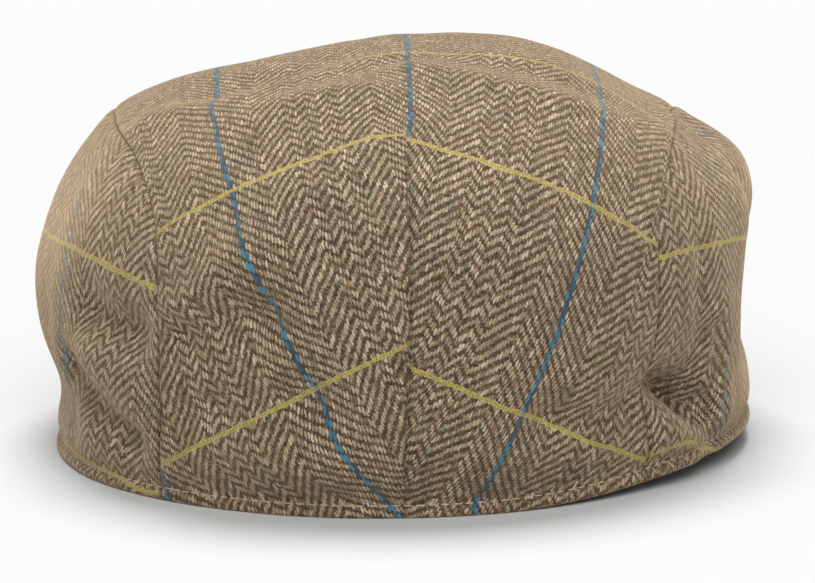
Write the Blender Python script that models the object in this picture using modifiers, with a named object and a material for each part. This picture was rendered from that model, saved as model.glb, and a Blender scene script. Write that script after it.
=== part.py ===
"""A flat cap of herringbone tweed, lying on its hem as by itself.

Metres, +Z up, the peak towards +Y, so +X is the wearer's right. The crown is three cloth panels: a top
panel that runs from the peak over the head to the back hem, where one dart takes it in, and a panel on
each side. A stiff peak lies under the front edge of the crown.

The crown is one smooth surface over a unit disc: the rim of the disc is the hem, its middle is the top of
the cap. Each panel is a patch of that disc, so neighbouring panels always meet along their seam.
"""

import math

import bpy
import numpy as np

MM = 0.001
TINY = 1 * MM  # keeps a division from dividing by nothing
TWEED = (0.27, 0.2, 0.13)
TWEED_ROUGHNESS = 0.92

# Crown
HEM_HALF_WIDTH = 92 * MM
HEM_BACK = 99 * MM
CROWN_FRONT = 136 * MM
CROWN_HEIGHT = 106 * MM
CLOTH_THICKNESS = 2.5 * MM
HEM_BAND = 3 * MM
HEM_LIFT = 5 * MM
LEFT_SWELL = 3 * MM
FOLDS_START = 12 * MM  # folds and dents reach their full depth this far above the hem

# Seams
SEAM_GAP = 0.3 * MM
SEAM_DIP = 0.9 * MM
SEAM_ROLL = 5 * MM
DART_LENGTH = 104 * MM
DART_DIP = 1.8 * MM
DART_ROLL = 5 * MM
DART_FADE = 35 * MM  # the dart's groove runs out over this length

# Peak
PEAK_THICKNESS = 4 * MM
PEAK_HALF_WIDTH = 79 * MM
PEAK_LENGTH = 64 * MM
PEAK_CORNER_WIDTH = 6 * MM
PEAK_TOP = 26 * MM
PEAK_TIP = 15 * MM
PEAK_DROP = 2.9 * MM
HEAD_FRONT = 94 * MM
HEAD_CORNER = 48 * MM
PEAK_CLEARANCE = 0.5 * MM

# Cells between the corners of a panel, before each cell is divided in four.
SIDE_CELLS = 5
TOP_CELLS = 9
WIDTH_CELLS = 5
PEAK_CELLS = (16, 4)

# The crown's sections, from the hem to the top. The half width is a share of the hem's, the back and the
# front of the hem's reach there, and the three heights are shares of the way from the hem to the top.
SECTIONS = (
    # half_width, back, front, high_back, high_side, high_front
    (1.000, 1.000, 1.000, 0.000, 0.000, 0.000),
    (1.006, 1.050, 1.026, 0.150, 0.140, 0.122),
    (1.018, 1.070, 1.000, 0.322, 0.308, 0.268),
    (1.015, 1.060, 0.934, 0.505, 0.467, 0.402),
    (0.970, 0.990, 0.831, 0.673, 0.626, 0.549),
    (0.860, 0.868, 0.706, 0.813, 0.766, 0.683),
    (0.690, 0.702, 0.559, 0.911, 0.864, 0.800),
    (0.485, 0.500, 0.393, 0.967, 0.932, 0.890),
    (0.255, 0.262, 0.202, 0.993, 0.981, 0.968),
    (0.000, 0.000, 0.000, 1.000, 1.000, 1.000),
)

# The seams of the side panels: degrees round from the side (the back is -90), on the right and on the
# left, and which section they cross.
SIDE_SEAMS = (
    # right, left, section
    (-48.5, -48.5, 0.0),
    (-47.5, -49.5, 1.5),
    (-46.5, -50.0, 3.0),
    (-43.0, -47.0, 4.0),
    (-31.0, -35.0, 4.9),
    (-10.0, -12.0, 5.35),
    (12.0, 12.0, 5.25),
    (30.0, 30.0, 4.5),
    (41.0, 41.0, 3.2),
    (47.5, 47.5, 1.6),
    (50.0, 50.0, 0.0),
)
SEAM_TURNS = (3.2, 7.0)  # rows of SIDE_SEAMS where a seam turns from back to top and from top to front

# Folds, dents and swells of the soft crown. Each runs from one place to another, given as degrees round
# from the wearer's right (the back is -90) and a section, with its width and how far it stands out.
FOLDS = (
    # from_around, from_section, to_around, to_section, width, stands_out
    (-192.0, 2.2, -165.0, 2.4, 24 * MM, LEFT_SWELL),
    (-190.0, 1.1, -160.0, 0.9, 10 * MM, -3.5 * MM),
    (-200.0, 5.4, -160.0, 5.4, 17 * MM, 1.5 * MM),
    (-200.0, 7.6, -140.0, 7.2, 24 * MM, -2.0 * MM),
    (-8.0, 2.1, 20.0, 2.1, 14 * MM, -8.5 * MM),
    (-14.0, 4.1, 8.0, 4.1, 13 * MM, 4.0 * MM),
    (-30.0, 7.1, 40.0, 7.1, 22 * MM, 2.2 * MM),
    (-20.0, 5.6, 30.0, 5.6, 14 * MM, -1.6 * MM),
    (-45.0, 1.3, -33.0, 1.5, 11 * MM, -4.0 * MM),
    (-29.0, 0.3, -30.0, 2.1, 6 * MM, 3.0 * MM),
    (-125.0, 6.0, -100.0, 6.5, 9 * MM, 2.0 * MM),
    (-150.0, 6.9, -100.0, 7.8, 14 * MM, -2.0 * MM),
)


def smooth_step(x):
    x = np.clip(x, 0, 1)
    return x * x * (3 - 2 * x)


def curve_through(rows, at):
    """A smooth curve through the rows of an array, read at row numbers that may lie between two rows."""
    at = np.clip(at, 0, len(rows) - 3)
    first = np.minimum(at.astype(int), len(rows) - 4)
    t = (at - first)[..., None]
    a, b, c, d = (rows[first + i] for i in range(4))
    return b + t / 2 * (c - a + t * (2 * a - 5 * b + 4 * c - d + t * (3 * (b - c) + d - a)))


def sections_with_ends():
    """The sections with a row before the hem and after the top, so that the crown leaves the hem upright
    and passes flat over the top."""
    rows = np.array(SECTIONS)
    before, after = rows[1].copy(), rows[-2].copy()
    before[3:] = 2 * rows[0, 3:] - rows[1, 3:]
    after[:3] = -rows[-2, :3]
    return np.vstack([before, rows, after])


def peak_half_width(y):
    """Half the width of the peak's outline at a distance in front of the cap's middle."""
    reach = HEAD_FRONT + PEAK_LENGTH - HEAD_CORNER
    share = np.clip((y - HEAD_CORNER) / reach, 0, 1)
    return PEAK_HALF_WIDTH * np.sqrt(1 - share ** 2)


def peak_edge_height(y):
    """The peak's edge lies low at the sides and rises a little towards the tip."""
    tip = HEAD_FRONT + PEAK_LENGTH
    side = (HEAD_FRONT + HEAD_CORNER + PEAK_LENGTH) / 2
    return PEAK_DROP + (PEAK_TIP - PEAK_DROP) * smooth_step((y - side) / (tip - side)) ** 2


def peak_height(x, y):
    """The top of the peak: an arch across, which falls away to the edge all round."""
    tip = HEAD_FRONT + PEAK_LENGTH
    fall = np.clip((y - HEAD_FRONT) / (tip - HEAD_FRONT), 0, 1) ** 2
    middle = PEAK_TOP + (PEAK_TIP - PEAK_TOP) * fall
    edge = peak_edge_height(y)
    across = np.clip(np.abs(x) / np.maximum(peak_half_width(y), TINY), 0, 1)
    return edge + (middle - edge) * (1 - across ** 2)


def hem_height(x, y):
    """The hem lies on z = 0 at the back, rises to the peak's corners and then runs over the peak."""
    inward = 1 - CLOTH_THICKNESS / np.maximum(np.hypot(x, y), TINY)
    over_peak = peak_height(x * inward, y * inward) - peak_edge_height(y * inward)
    rise = smooth_step(y / HEAD_CORNER) * (peak_edge_height(y * inward) + PEAK_CLEARANCE)
    lift = HEM_LIFT * smooth_step(x / HEM_HALF_WIDTH) ** 2
    return rise + np.where(y > HEAD_CORNER, over_peak, 0) + lift * (1 - smooth_step(y / HEAD_CORNER))


def bare_crown(disc):
    """Points of the crown without folds or seams, from points of the unit disc."""
    out = np.hypot(disc[..., 0], disc[..., 1])
    around = np.arctan2(disc[..., 1], disc[..., 0])
    top = len(SECTIONS) - 1
    row = curve_through(sections_with_ends(), (1 - out) * top)
    sine = np.sin(around)
    to_front = sine > 0
    x = HEM_HALF_WIDTH * row[..., 0] * np.cos(around)
    y = sine * np.where(to_front, CROWN_FRONT * row[..., 2], HEM_BACK * row[..., 1])
    high = row[..., 4] + (np.where(to_front, row[..., 5], row[..., 3]) - row[..., 4]) * sine ** 2
    reach = np.where(to_front, CROWN_FRONT, HEM_BACK)
    hem = hem_height(HEM_HALF_WIDTH * np.cos(around), reach * sine) + HEM_BAND
    return np.stack([x, y, hem + (CROWN_HEIGHT - hem) * high], axis=-1)


def normals(disc, surface):
    step = 1e-4
    across = surface(disc + (step, 0)) - surface(disc - (step, 0))
    along = surface(disc + (0, step)) - surface(disc - (0, step))
    n = np.cross(across, along)
    return n / np.linalg.norm(n, axis=-1, keepdims=True)


def on_disc(around, section):
    """The place on the disc of an angle in degrees and a section."""
    out = 1 - np.asarray(section) / (len(SECTIONS) - 1)
    turn = np.radians(around)
    return np.stack([out * np.cos(turn), out * np.sin(turn)], axis=-1)


def crown(disc):
    """Points of the crown with its folds and dents."""
    points = bare_crown(disc)
    move = np.zeros(points.shape[:-1])
    for from_around, from_section, to_around, to_section, width, stands_out in FOLDS:
        a = bare_crown(on_disc(from_around, from_section))
        b = bare_crown(on_disc(to_around, to_section))
        along = np.clip((points - a) @ (b - a) / ((b - a) @ (b - a)), 0, 1)
        far = np.linalg.norm(points - a - along[..., None] * (b - a), axis=-1)
        move += stands_out * np.exp(-(far / width) ** 2)
    fade = smooth_step((points[..., 2] - hem_height(points[..., 0], points[..., 1])) / FOLDS_START)
    return points + normals(disc, bare_crown) * (move * fade)[..., None]


def spaced(start, end, cells, rolls):
    """Even stations between two lengths, with a short cell at each end where a seam rolls over."""
    first, last = start + rolls[0] * SEAM_ROLL, end - rolls[1] * SEAM_ROLL
    inner = np.linspace(first, last, cells + 1)
    return np.concatenate([[start] * rolls[0], inner, [end] * rolls[1]])


def seam_curve(side):
    """A side seam on the disc, as its back, top and front parts. side is 1 on the right, -1 on the left."""
    table = np.array(SIDE_SEAMS)
    places = on_disc(table[:, 0 if side > 0 else 1], table[:, 2])
    ends = np.vstack([2 * places[0] - places[1], places, 2 * places[-1] - places[-2]])
    fine = np.linspace(0, len(table) - 1, 401)
    steps = np.diff(bare_crown(curve_through(ends, fine)), axis=0)
    length = np.insert(np.linalg.norm(steps, axis=1).cumsum(), 0, 0)
    start, back, front, end = np.interp((0, *SEAM_TURNS, len(table) - 1), fine, length)
    stops = (
        spaced(start, back, SIDE_CELLS, (0, 1)),
        spaced(back, front, TOP_CELLS, (1, 1)),
        spaced(front, end, SIDE_CELLS, (1, 0)),
    )
    return [curve_through(ends, np.interp(s, length, fine)) * (side, 1) for s in stops]


def shares_along(curve):
    """How far along a curve of the crown each of its points lies, from 0 to 1."""
    steps = np.linalg.norm(np.diff(bare_crown(curve), axis=0), axis=1)
    return np.insert(steps.cumsum(), 0, 0) / steps.sum()


def patch(bottom, top, left, right, across, along):
    """A patch of the disc between four edges, with the place of each column and row from 0 to 1."""
    u = np.asarray(across)[None, :, None]
    v = np.asarray(along)[:, None, None]
    edges = (1 - v) * bottom[None] + v * top[None] + (1 - u) * left[:, None] + u * right[:, None]
    corners = (1 - v) * ((1 - u) * left[0] + u * right[0]) + v * ((1 - u) * left[-1] + u * right[-1])
    return edges - corners


def hem_arc(start, end, shares):
    """Points of the disc's rim between two angles in degrees."""
    return on_disc(start + (end - start) * np.asarray(shares), 0)


def angle_of(place):
    """Degrees round from the right of a place on the disc."""
    return math.degrees(math.atan2(place[1], place[0]))


def moved_to(points, towards, distance):
    """Points moved a distance towards others."""
    way = towards - points
    return points + way * distance / np.linalg.norm(way, axis=-1, keepdims=True)


def set_tweed(obj):
    material = bpy.data.materials.new(obj.name + "_tweed")
    material.use_nodes = True
    shader = material.node_tree.nodes["Principled BSDF"]
    shader.inputs["Base Color"].default_value = (*TWEED, 1)
    shader.inputs["Roughness"].default_value = TWEED_ROUGHNESS
    shader.inputs["Metallic"].default_value = 0
    obj.data.materials.append(material)


def sheet_object(name, points, collection):
    """An open sheet of four-sided cells from a grid of points, rows along and columns across."""
    rows, columns = points.shape[:2]
    faces = [
        (r * columns + c, r * columns + c + 1, (r + 1) * columns + c + 1, (r + 1) * columns + c)
        for r in range(rows - 1)
        for c in range(columns - 1)
    ]
    mesh = bpy.data.meshes.new(name)
    mesh.from_pydata(points.reshape(-1, 3).tolist(), [], faces)
    obj = bpy.data.objects.new(name, mesh)
    collection.objects.link(obj)
    mesh.shade_smooth()
    return obj


def divide(obj):
    subdivision = obj.modifiers.new("Divide", "SUBSURF")
    subdivision.levels = subdivision.render_levels = 1
    subdivision.boundary_smooth = "ALL"
    subdivision.use_limit_surface = False


def thicken(obj, thickness):
    wall = obj.modifiers.new("Thickness", "SOLIDIFY")
    wall.thickness = thickness
    wall.offset = -1


def sharpen(mesh, vertices, edges=()):
    """Keeps these corners and edges as they are when the cells are divided."""
    corner = mesh.attributes.new("crease_vert", "FLOAT", "POINT")
    for v in vertices:
        corner.data[v].value = 1
    wanted = {frozenset(e) for e in edges}
    crease = mesh.attributes.new("crease_edge", "FLOAT", "EDGE")
    for edge in mesh.edges:
        if frozenset(edge.vertices) in wanted:
            crease.data[edge.index].value = 1


def cloth_panel(name, points, collection, edges=()):
    rows, columns = points.shape[:2]
    obj = sheet_object(name, points, collection)
    sharpen(obj.data, (0, columns - 1, (rows - 1) * columns, rows * columns - 1), edges)
    divide(obj)
    thicken(obj, CLOTH_THICKNESS)
    set_tweed(obj)


def dipped(disc, depth):
    """Points of the crown, let in by a depth."""
    return crown(disc) - normals(disc, bare_crown) * np.asarray(depth)[..., None]


def top_panel(collection):
    left, right = (np.vstack([b, t[1:], f[1:]]) for b, t, f in (seam_curve(-1), seam_curve(1)))
    width = np.linalg.norm(bare_crown(left[0]) - bare_crown(right[0]))
    roll, dart = SEAM_ROLL / width, DART_ROLL / width
    half = np.concatenate([[0], np.linspace(roll, 0.5 - dart, WIDTH_CELLS + 1), [0.5]])
    across = np.concatenate([half, 1 - half[-2::-1]])
    bottom = hem_arc(angle_of(left[0]), angle_of(right[0]), across)
    top = hem_arc(angle_of(left[-1]), angle_of(right[-1]), across)
    disc = patch(bottom, top, left, right, across, shares_along(right))
    disc = np.vstack([disc[:1], disc, disc[-1:]])
    middle = len(half) - 1
    steps = np.linalg.norm(np.diff(crown(disc[:, middle]), axis=0), axis=1)
    up_the_back = np.insert(steps.cumsum(), 0, 0)
    depth = np.zeros(disc.shape[:2])
    depth[:, (0, -1)] = SEAM_DIP
    depth[:, middle] = DART_DIP * smooth_step((DART_LENGTH - up_the_back) / DART_FADE)
    points = dipped(disc, depth)
    points[(0, -1), :, 2] -= HEM_BAND
    points = with_gaps(points, columns=((0, 1), (-1, -2)))
    columns = points.shape[1]
    fold = [
        (r * columns + middle, (r + 1) * columns + middle)
        for r in range(len(points) - 1)
        if up_the_back[r + 1] < DART_LENGTH
    ]
    cloth_panel("top_panel", points, collection, fold)


def with_gaps(points, columns=(), rows=()):
    """A grid whose edge rows and columns keep half the seam's gap."""
    kept = points.copy()
    for edge, inner in columns:
        points[:, edge] = moved_to(kept[:, edge], kept[:, inner], SEAM_GAP / 2)
    for edge, inner in rows:
        points[edge] = moved_to(points[edge], kept[inner], SEAM_GAP / 2)
    return points


def side_panel(name, side, collection):
    back, top, front = seam_curve(side)
    across = shares_along(top)
    bottom = hem_arc(angle_of(back[0] * (side, 1)), angle_of(front[-1] * (side, 1)), across) * (side, 1)
    disc = patch(bottom, top, back, front[::-1], across, shares_along(back))
    disc = np.vstack([disc[:1], disc])
    depth = np.zeros(disc.shape[:2])
    depth[:, (0, -1)] = depth[-1] = SEAM_DIP
    points = dipped(disc, depth)
    points[0, :, 2] -= HEM_BAND
    points = with_gaps(points, columns=((0, 1), (-1, -2)), rows=((-1, -2),))
    cloth_panel(name, points[:, ::side], collection)


def peak(collection):
    across_cells, out_cells = PEAK_CELLS
    turn = np.linspace(math.pi, 0, across_cells + 1)[:, None]
    tip = HEAD_FRONT + PEAK_LENGTH
    start = math.asin(HEAD_CORNER / HEAD_FRONT)
    inner_turn = math.pi / 2 + (turn - math.pi / 2) * (1 - start / (math.pi / 2))
    corner = (PEAK_HALF_WIDTH - PEAK_CORNER_WIDTH) / math.cos(start)
    inner = np.hstack([corner * np.cos(inner_turn), HEAD_FRONT * np.sin(inner_turn)])
    y = HEAD_CORNER + (tip - HEAD_CORNER) * np.sin(turn)
    outer = np.hstack([np.sign(np.cos(turn)) * peak_half_width(y), y])
    out = np.linspace(0, 1, out_cells + 1)[:, None, None]
    plan = inner + (outer - inner) * out
    points = np.dstack([plan, peak_height(plan[..., 0], plan[..., 1])])
    obj = sheet_object("peak", points, collection)
    thicken(obj, PEAK_THICKNESS)
    divide(obj)
    set_tweed(obj)


def crown_place():
    """Where the crown's middle stands, so that the origin lies under the middle of the whole cap."""
    back = HEM_BACK * max(row[1] for row in SECTIONS)
    front = HEAD_FRONT + PEAK_LENGTH
    return LEFT_SWELL / 2, (back - front) / 2, 0


def main():
    for obj in list(bpy.data.objects):
        bpy.data.objects.remove(obj, do_unlink=True)
    collection = bpy.data.collections.new("flat_cap")
    bpy.context.scene.collection.children.link(collection)
    top_panel(collection)
    side_panel("side_panel_right", 1, collection)
    side_panel("side_panel_left", -1, collection)
    peak(collection)
    for obj in collection.objects:
        obj.location = crown_place()


main()
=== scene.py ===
"""A flat cap of herringbone tweed with a windowpane check, seen from behind on a pale floor.

Metres, +Z up, the peak towards +Y. The crown is one smooth surface over a unit disc: the rim of the disc
is the hem, its middle is the top of the cap. Each cloth panel is a patch of that disc.
"""

import math
import random
from functools import partialmethod

import bpy
import numpy as np
from mathutils import Matrix, Vector


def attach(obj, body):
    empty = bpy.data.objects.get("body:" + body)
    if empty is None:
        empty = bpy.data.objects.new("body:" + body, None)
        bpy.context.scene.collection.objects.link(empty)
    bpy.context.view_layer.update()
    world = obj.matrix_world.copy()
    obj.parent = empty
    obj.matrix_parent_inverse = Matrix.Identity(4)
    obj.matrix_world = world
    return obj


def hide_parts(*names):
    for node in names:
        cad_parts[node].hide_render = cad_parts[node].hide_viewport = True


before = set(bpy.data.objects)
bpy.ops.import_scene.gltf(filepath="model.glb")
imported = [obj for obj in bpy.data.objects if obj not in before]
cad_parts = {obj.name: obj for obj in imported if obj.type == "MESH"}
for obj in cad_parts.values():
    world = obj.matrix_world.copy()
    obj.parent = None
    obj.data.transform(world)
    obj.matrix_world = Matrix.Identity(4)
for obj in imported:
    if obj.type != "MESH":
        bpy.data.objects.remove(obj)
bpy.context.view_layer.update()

MM = 0.001
TINY = 1 * MM  # the least that is divided by
NOTHING = 1e-12
FAR = 1.0  # further than the cap reaches

# Crown
HEM_HALF_WIDTH = 92 * MM
HEM_BACK = 99 * MM
CROWN_FRONT = 136 * MM
CROWN_HEIGHT = 106 * MM
CLOTH_THICKNESS = 2.5 * MM
HEM_BAND = 3 * MM
HEM_LIFT = 5 * MM
LEFT_SWELL = 3 * MM
FOLDS_START = 12 * MM  # folds and dents reach their full depth this far above the hem
DART_LENGTH = 104 * MM
DART_FADE = 35 * MM  # the dart's groove runs out over this length
SURFACE_STEP = 1e-4  # on the unit disc, to find which way the surface faces

# Peak
PEAK_THICKNESS = 4 * MM
PEAK_HALF_WIDTH = 79 * MM
PEAK_LENGTH = 64 * MM
PEAK_CORNER_WIDTH = 6 * MM
PEAK_TOP = 26 * MM
PEAK_TIP = 15 * MM
PEAK_DROP = 2.9 * MM
HEAD_FRONT = 94 * MM
HEAD_CORNER = 48 * MM
PEAK_END = HEAD_FRONT + PEAK_LENGTH
PEAK_CLEARANCE = 0.5 * MM

# Sewing
SEAM_GAP = 0.16 * MM
SEAM_DIP = 0.35 * MM
SEAM_ROLL = 2.0 * MM
SEAM_STEPS = 401
DART_DIP = 1.2 * MM
DART_ROLL = 3.0 * MM
DART_SHOWS = 0.02  # the share of its depth from which the dart gets the painted seam shade
SEAM = (SEAM_ROLL, SEAM_DIP, 1)  # how the cloth is let in, and its share of the puckers
PUCKER = 0.28 * MM
PUCKER_PITCH = 11 * MM
PUCKER_REACH = 7 * MM
PUCKER_SHIFT = (2.2, 60 * MM, 3)  # a soft wave: radians, pitch, seed
HEM_STITCH_DIP = 1.5 * MM
HEM_STITCH_ROLL = 7 * MM
HEM = (HEM_STITCH_ROLL, HEM_STITCH_DIP, 0)
HEM_HOLD = 0.25  # how much of the soft waves is left at the hem
SOFT_WAVES = (
    # size, pitch, seed
    (0.45 * MM, 55 * MM, 11),
    (0.16 * MM, 21 * MM, 12),
)
WAVE_COUNT = 6
WAVE_PITCHES = (0.7, 1.5)  # the shortest and the longest, in pitches
WAVE_STARTS = (0, 6.28)
CELL = 1.6 * MM  # between the vertices of a panel
BACK_BULGE = 1.15  # how much further the top panel's back hem runs than straight across
HEM_ROWS = (
    # mm from the stitching down to the hem's edge, how much of the stitching's dip is left
    (0.0, 1.0), (0.4, 0.76), (1.0, 0.48), (1.6, 0.27), (2.3, 0.12), (3.0, 0.08),
)
NEAR_EDGE = (0.0, 0.35, 0.8, 1.4, 2.2, 3.2, 4.5)  # mm: closer columns where a seam rolls over
HEM_ARC = 6  # rows round the edge of a hem

# Laying the cloth out flat
PIN_STRENGTH = 3.0
LEAST_STIFFNESS = 0.05
LOOSE_HOLD = 1e-7  # holds the sheet where no pin does
ON_EDGE = 1e-6  # share of a triangle by which a pin may lie outside it
NO_AREA = 1e-9
FLAT_CELLS = (5.5 * MM, 3.4 * MM)  # top panel, side panels
LEAST_CELLS = 6
TYPICAL_ROW = (3, 2)  # lengths across are read a third and half way up
FLAT_ROUNDS = 60
FIRST_YELLOW = (DART_LENGTH - 10 * MM, 60 * MM)  # roughly how far up it runs

# One repeat of the cloth's checks, across and along, and the yarns in it
REPEAT = (50 * MM, 57 * MM)
YARNS = (72, 74)

# The crown's sections, from the hem to the top. The half width is a share of the hem's, the back and the
# front of the hem's reach there, and the three heights are shares of the way from the hem to the top.
SECTIONS = (
    # half_width, back, front, high_back, high_side, high_front
    (1.000, 1.000, 1.000, 0.000, 0.000, 0.000),
    (1.006, 1.050, 1.026, 0.150, 0.140, 0.122),
    (1.018, 1.070, 1.000, 0.322, 0.308, 0.268),
    (1.015, 1.060, 0.934, 0.505, 0.467, 0.402),
    (0.970, 0.990, 0.831, 0.673, 0.626, 0.549),
    (0.860, 0.868, 0.706, 0.813, 0.766, 0.683),
    (0.690, 0.702, 0.559, 0.911, 0.864, 0.800),
    (0.485, 0.500, 0.393, 0.967, 0.932, 0.890),
    (0.255, 0.262, 0.202, 0.993, 0.981, 0.968),
    (0.000, 0.000, 0.000, 1.000, 1.000, 1.000),
)

# The seams of the side panels: degrees round from the side (the back is -90), on the right and on the
# left, and which section they cross.
SIDE_SEAMS = (
    # right, left, section
    (-48.5, -48.5, 0.0),
    (-47.5, -49.5, 1.5),
    (-46.5, -50.0, 3.0),
    (-43.0, -47.0, 4.0),
    (-31.0, -35.0, 4.9),
    (-10.0, -12.0, 5.35),
    (12.0, 12.0, 5.25),
    (30.0, 30.0, 4.5),
    (41.0, 41.0, 3.2),
    (47.5, 47.5, 1.6),
    (50.0, 50.0, 0.0),
)
SEAM_TURNS = (3.2, 7.0)

# Folds, dents and swells of the soft crown. Each runs from one place to another, given as degrees round
# from the wearer's right (the back is -90) and a section, with its width and how far it stands out.
FOLDS = (
    # from_around, from_section, to_around, to_section, width, stands_out
    (-192.0, 2.2, -165.0, 2.4, 24 * MM, LEFT_SWELL),
    (-190.0, 1.1, -160.0, 0.9, 10 * MM, -3.5 * MM),
    (-200.0, 5.4, -160.0, 5.4, 17 * MM, 1.5 * MM),
    (-200.0, 7.6, -140.0, 7.2, 24 * MM, -2.0 * MM),
    (-8.0, 2.1, 20.0, 2.1, 14 * MM, -8.5 * MM),
    (-14.0, 4.1, 8.0, 4.1, 13 * MM, 4.0 * MM),
    (-30.0, 7.1, 40.0, 7.1, 22 * MM, 2.2 * MM),
    (-20.0, 5.6, 30.0, 5.6, 14 * MM, -1.6 * MM),
    (-45.0, 1.3, -33.0, 1.5, 11 * MM, -4.0 * MM),
    (-29.0, 0.3, -30.0, 2.1, 6 * MM, 3.0 * MM),
    (-125.0, 6.0, -100.0, 6.5, 9 * MM, 2.0 * MM),
    (-150.0, 6.9, -100.0, 7.8, 14 * MM, -2.0 * MM),
)

# Where the checks show from behind, on the upright plane through the cap's middle: millimetres across to
# the right and up. Blue lines have a number across the cloth, yellow lines one along it. A number with a
# fraction holds the cloth between two lines.
BLUE, YELLOW = 0, 1
TOP_CHECKS = (
    # colour, number, half of the panel (-1 left, 1 right), places (across, up)
    (BLUE, -1, -1, ((-50, 97), (-51.3, 86.3), (-44.7, 65), (-37.5, 38.4), (-22, 13.2), (-2.5, -19))),
    (BLUE, 0, 1, ((1.3, 105), (1.9, 95), (1.2, 78))),
    (BLUE, 1, 1, ((53.7, 97), (53.2, 85.5), (50.3, 59.7), (41.8, 27.8), (32.4, 6.5), (20.5, -20))),
    (YELLOW, 0, -1, ((-63, 56), (-44.7, 65), (-25, 72), (-7.4, 81.5))),
    (YELLOW, 0, 1, ((4.5, 78), (25, 69), (50.3, 59.7), (66, 50.4))),
    (YELLOW, -1, -1, ((-61.5, -6.8), (-42, 3), (-22, 13.2), (-1.2, 23))),
    (BLUE, -1.72, -1, ((-62.5, 25),)),
    (BLUE, -1.78, -1, ((-62.5, 5),)),
    (BLUE, -1.97, -1, ((-62.4, -14.8),)),
    (YELLOW, -1, 1, ((1.9, 18.5), (15, 13), (32.4, 6.5), (64, -6.2))),
)
LEFT_CHECKS = (
    (BLUE, 0, -1, (
        (-83.2, 75), (-84.7, 68), (-85.9, 62.4), (-86.5, 57), (-87, 51.7), (-88, 44), (-88.8, 37.1),
        (-89.7, 31), (-90.3, 25.9), (-89.8, 13), (-89.3, 1.2),
    )),
    (BLUE, 0.93, -1, ((-65.5, 30), (-65.5, 20), (-65.5, 10), (-65.5, 0), (-65.5, -10))),
    (YELLOW, 0, -1, ((-94, 52), (-87, 49.9), (-80.6, 46.4), (-73.9, 42.4), (-66.2, 38.2))),
    (YELLOW, -1, -1, ((-87, -5.5), (-76, -10.5), (-65.5, -14.5))),
)
RIGHT_CHECKS = (
    (BLUE, 0, 1, ((86, 66), (88, 45), (89.1, 24.1), (85.4, 14.5), (83.2, 6.5), (81.6, -2.5))),
    (YELLOW, 0, 1, ((70, 47), (80, 49.5), (90, 52))),
    (YELLOW, -1, 1, ((66, -6.5), (78, -1.8), (90, 2.5))),
)

# Where the crown is searched for the soft folds' places: degrees round and sections, first, last, count
BACK_AROUND = (-200, 20, 441)
BACK_SECTIONS = (0, len(SECTIONS) - 2, 161)

# Soft folds, dents and hollows of the cloth that show from behind, on the same plane
SOFT_FOLDS = (
    # stands out, width, places (across, up)
    (-2.3 * MM, 22 * MM, ((-90, 66), (-97, 38))),
    (-6.0 * MM, 12 * MM, ((82, 84), (87.5, 78), (91, 73))),
    (2.4 * MM, 8 * MM, ((-66, 84.2), (-50, 86.3), (-38, 90.6), (-19.4, 95.6), (-1, 99.6))),
    (2.0 * MM, 7 * MM, ((2, 97), (18, 94), (36, 89.5), (47, 86))),
    (-1.0 * MM, 6 * MM, ((22, 99), (42, 95), (58, 88))),
    (-4.6 * MM, 4.5 * MM, ((-59, 26), (-53, 29), (-43, 33), (-36.5, 32))),
    (-2.0 * MM, 9 * MM, ((-57, 16), (-48, 20))),
    (2.6 * MM, 7 * MM, ((-56, 32), (-50.7, 39.5), (-42, 48))),
    (-1.5 * MM, 6 * MM, ((-36, 31), (-28, 17), (-20, 5))),
    (-2.6 * MM, 5 * MM, ((-61, 4), (-50, 6), (-39, 8), (-25, 8.5))),
    (3.0 * MM, 9 * MM, ((-33, -6), (-20, -7.5))),
    (-1.2 * MM, 6 * MM, ((-21.5, 56), (-17, 46), (-4, 38.5))),
    (-1.0 * MM, 5 * MM, ((-8, 65), (-5, 50))),
    (1.2 * MM, 7 * MM, ((-29, 65), (-22, 62), (-16, 55))),
    (-5.0 * MM, 6 * MM, ((-85, 34), (-78, 29), (-72.5, 26.8))),
    (-4.6 * MM, 5.5 * MM, ((-91, 18), (-83, 7), (-73.5, -2))),
    (2.0 * MM, 7 * MM, ((-84, 22), (-74, 12))),
    (-7.0 * MM, 4.4 * MM, ((68.5, 13.5), (71, 12), (74, 10), (77, 8), (79, 5.5))),
    (-6.5 * MM, 4.2 * MM, ((75, 10.5), (79, 7))),
    (2.6 * MM, 3.2 * MM, ((82.2, 25), (81, 14), (79.6, 6.5), (77.4, -2.8))),
    (-3.0 * MM, 4.5 * MM, ((85.4, 27), (84.2, 14.5), (83, 1.2))),
    (2.0 * MM, 7 * MM, ((69, 1), (74, -1.5))),
    (-3.4 * MM, 5.5 * MM, ((40, 4), (50, 2.5), (56, 4.5), (61, 7.5))),
    (-1.2 * MM, 3.5 * MM, ((80, 48), (79, 36), (80, 26))),
)

# The twill turns over and back: runs of warp yarns and which way the ridges step, from the blue line on.
ZIGZAG = (
    # yarns, step
    (14, 1), (12, -1), (4, 1), (4, -1), (4, 1), (4, -1), (4, 1), (12, -1), (14, 1),
)

# The floats of the warp, in yarns
FLOAT_EVERY = 4
LATE_START = 0.5  # at most
SLUB_WIDE, SLUB_WIDER = 0.44, 0.2  # the thinnest, and what the widest has more
SLUB_LONG, SLUB_LONGER = 1.1, 0.4
SLUB_LEAN = -0.1
SLUB_EDGE = (0.68, 1.08)
SLUB_FALL = 0.35
BLUE_YARNS, BLUE_EDGE = 1.0, 0.1
BLUE_WIDER, BLUE_LONGER = 0.26, 0.45
YELLOW_YARNS, YELLOW_EDGE = 0.8, 0.12
YELLOW_COVERS = 0.55  # how much of the warp it hides
SIDE_BLUE = (0.85, 0.5)  # how much of the blue shows on the fuzzier side panels, left and right
# Painted shade along the seams: how far from a seam the cloth's colour darkens, and its darkest share
GROOVE_SHADE = 1.2 * MM
GROOVE_SHADE_DARKEST = 0.6

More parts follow.
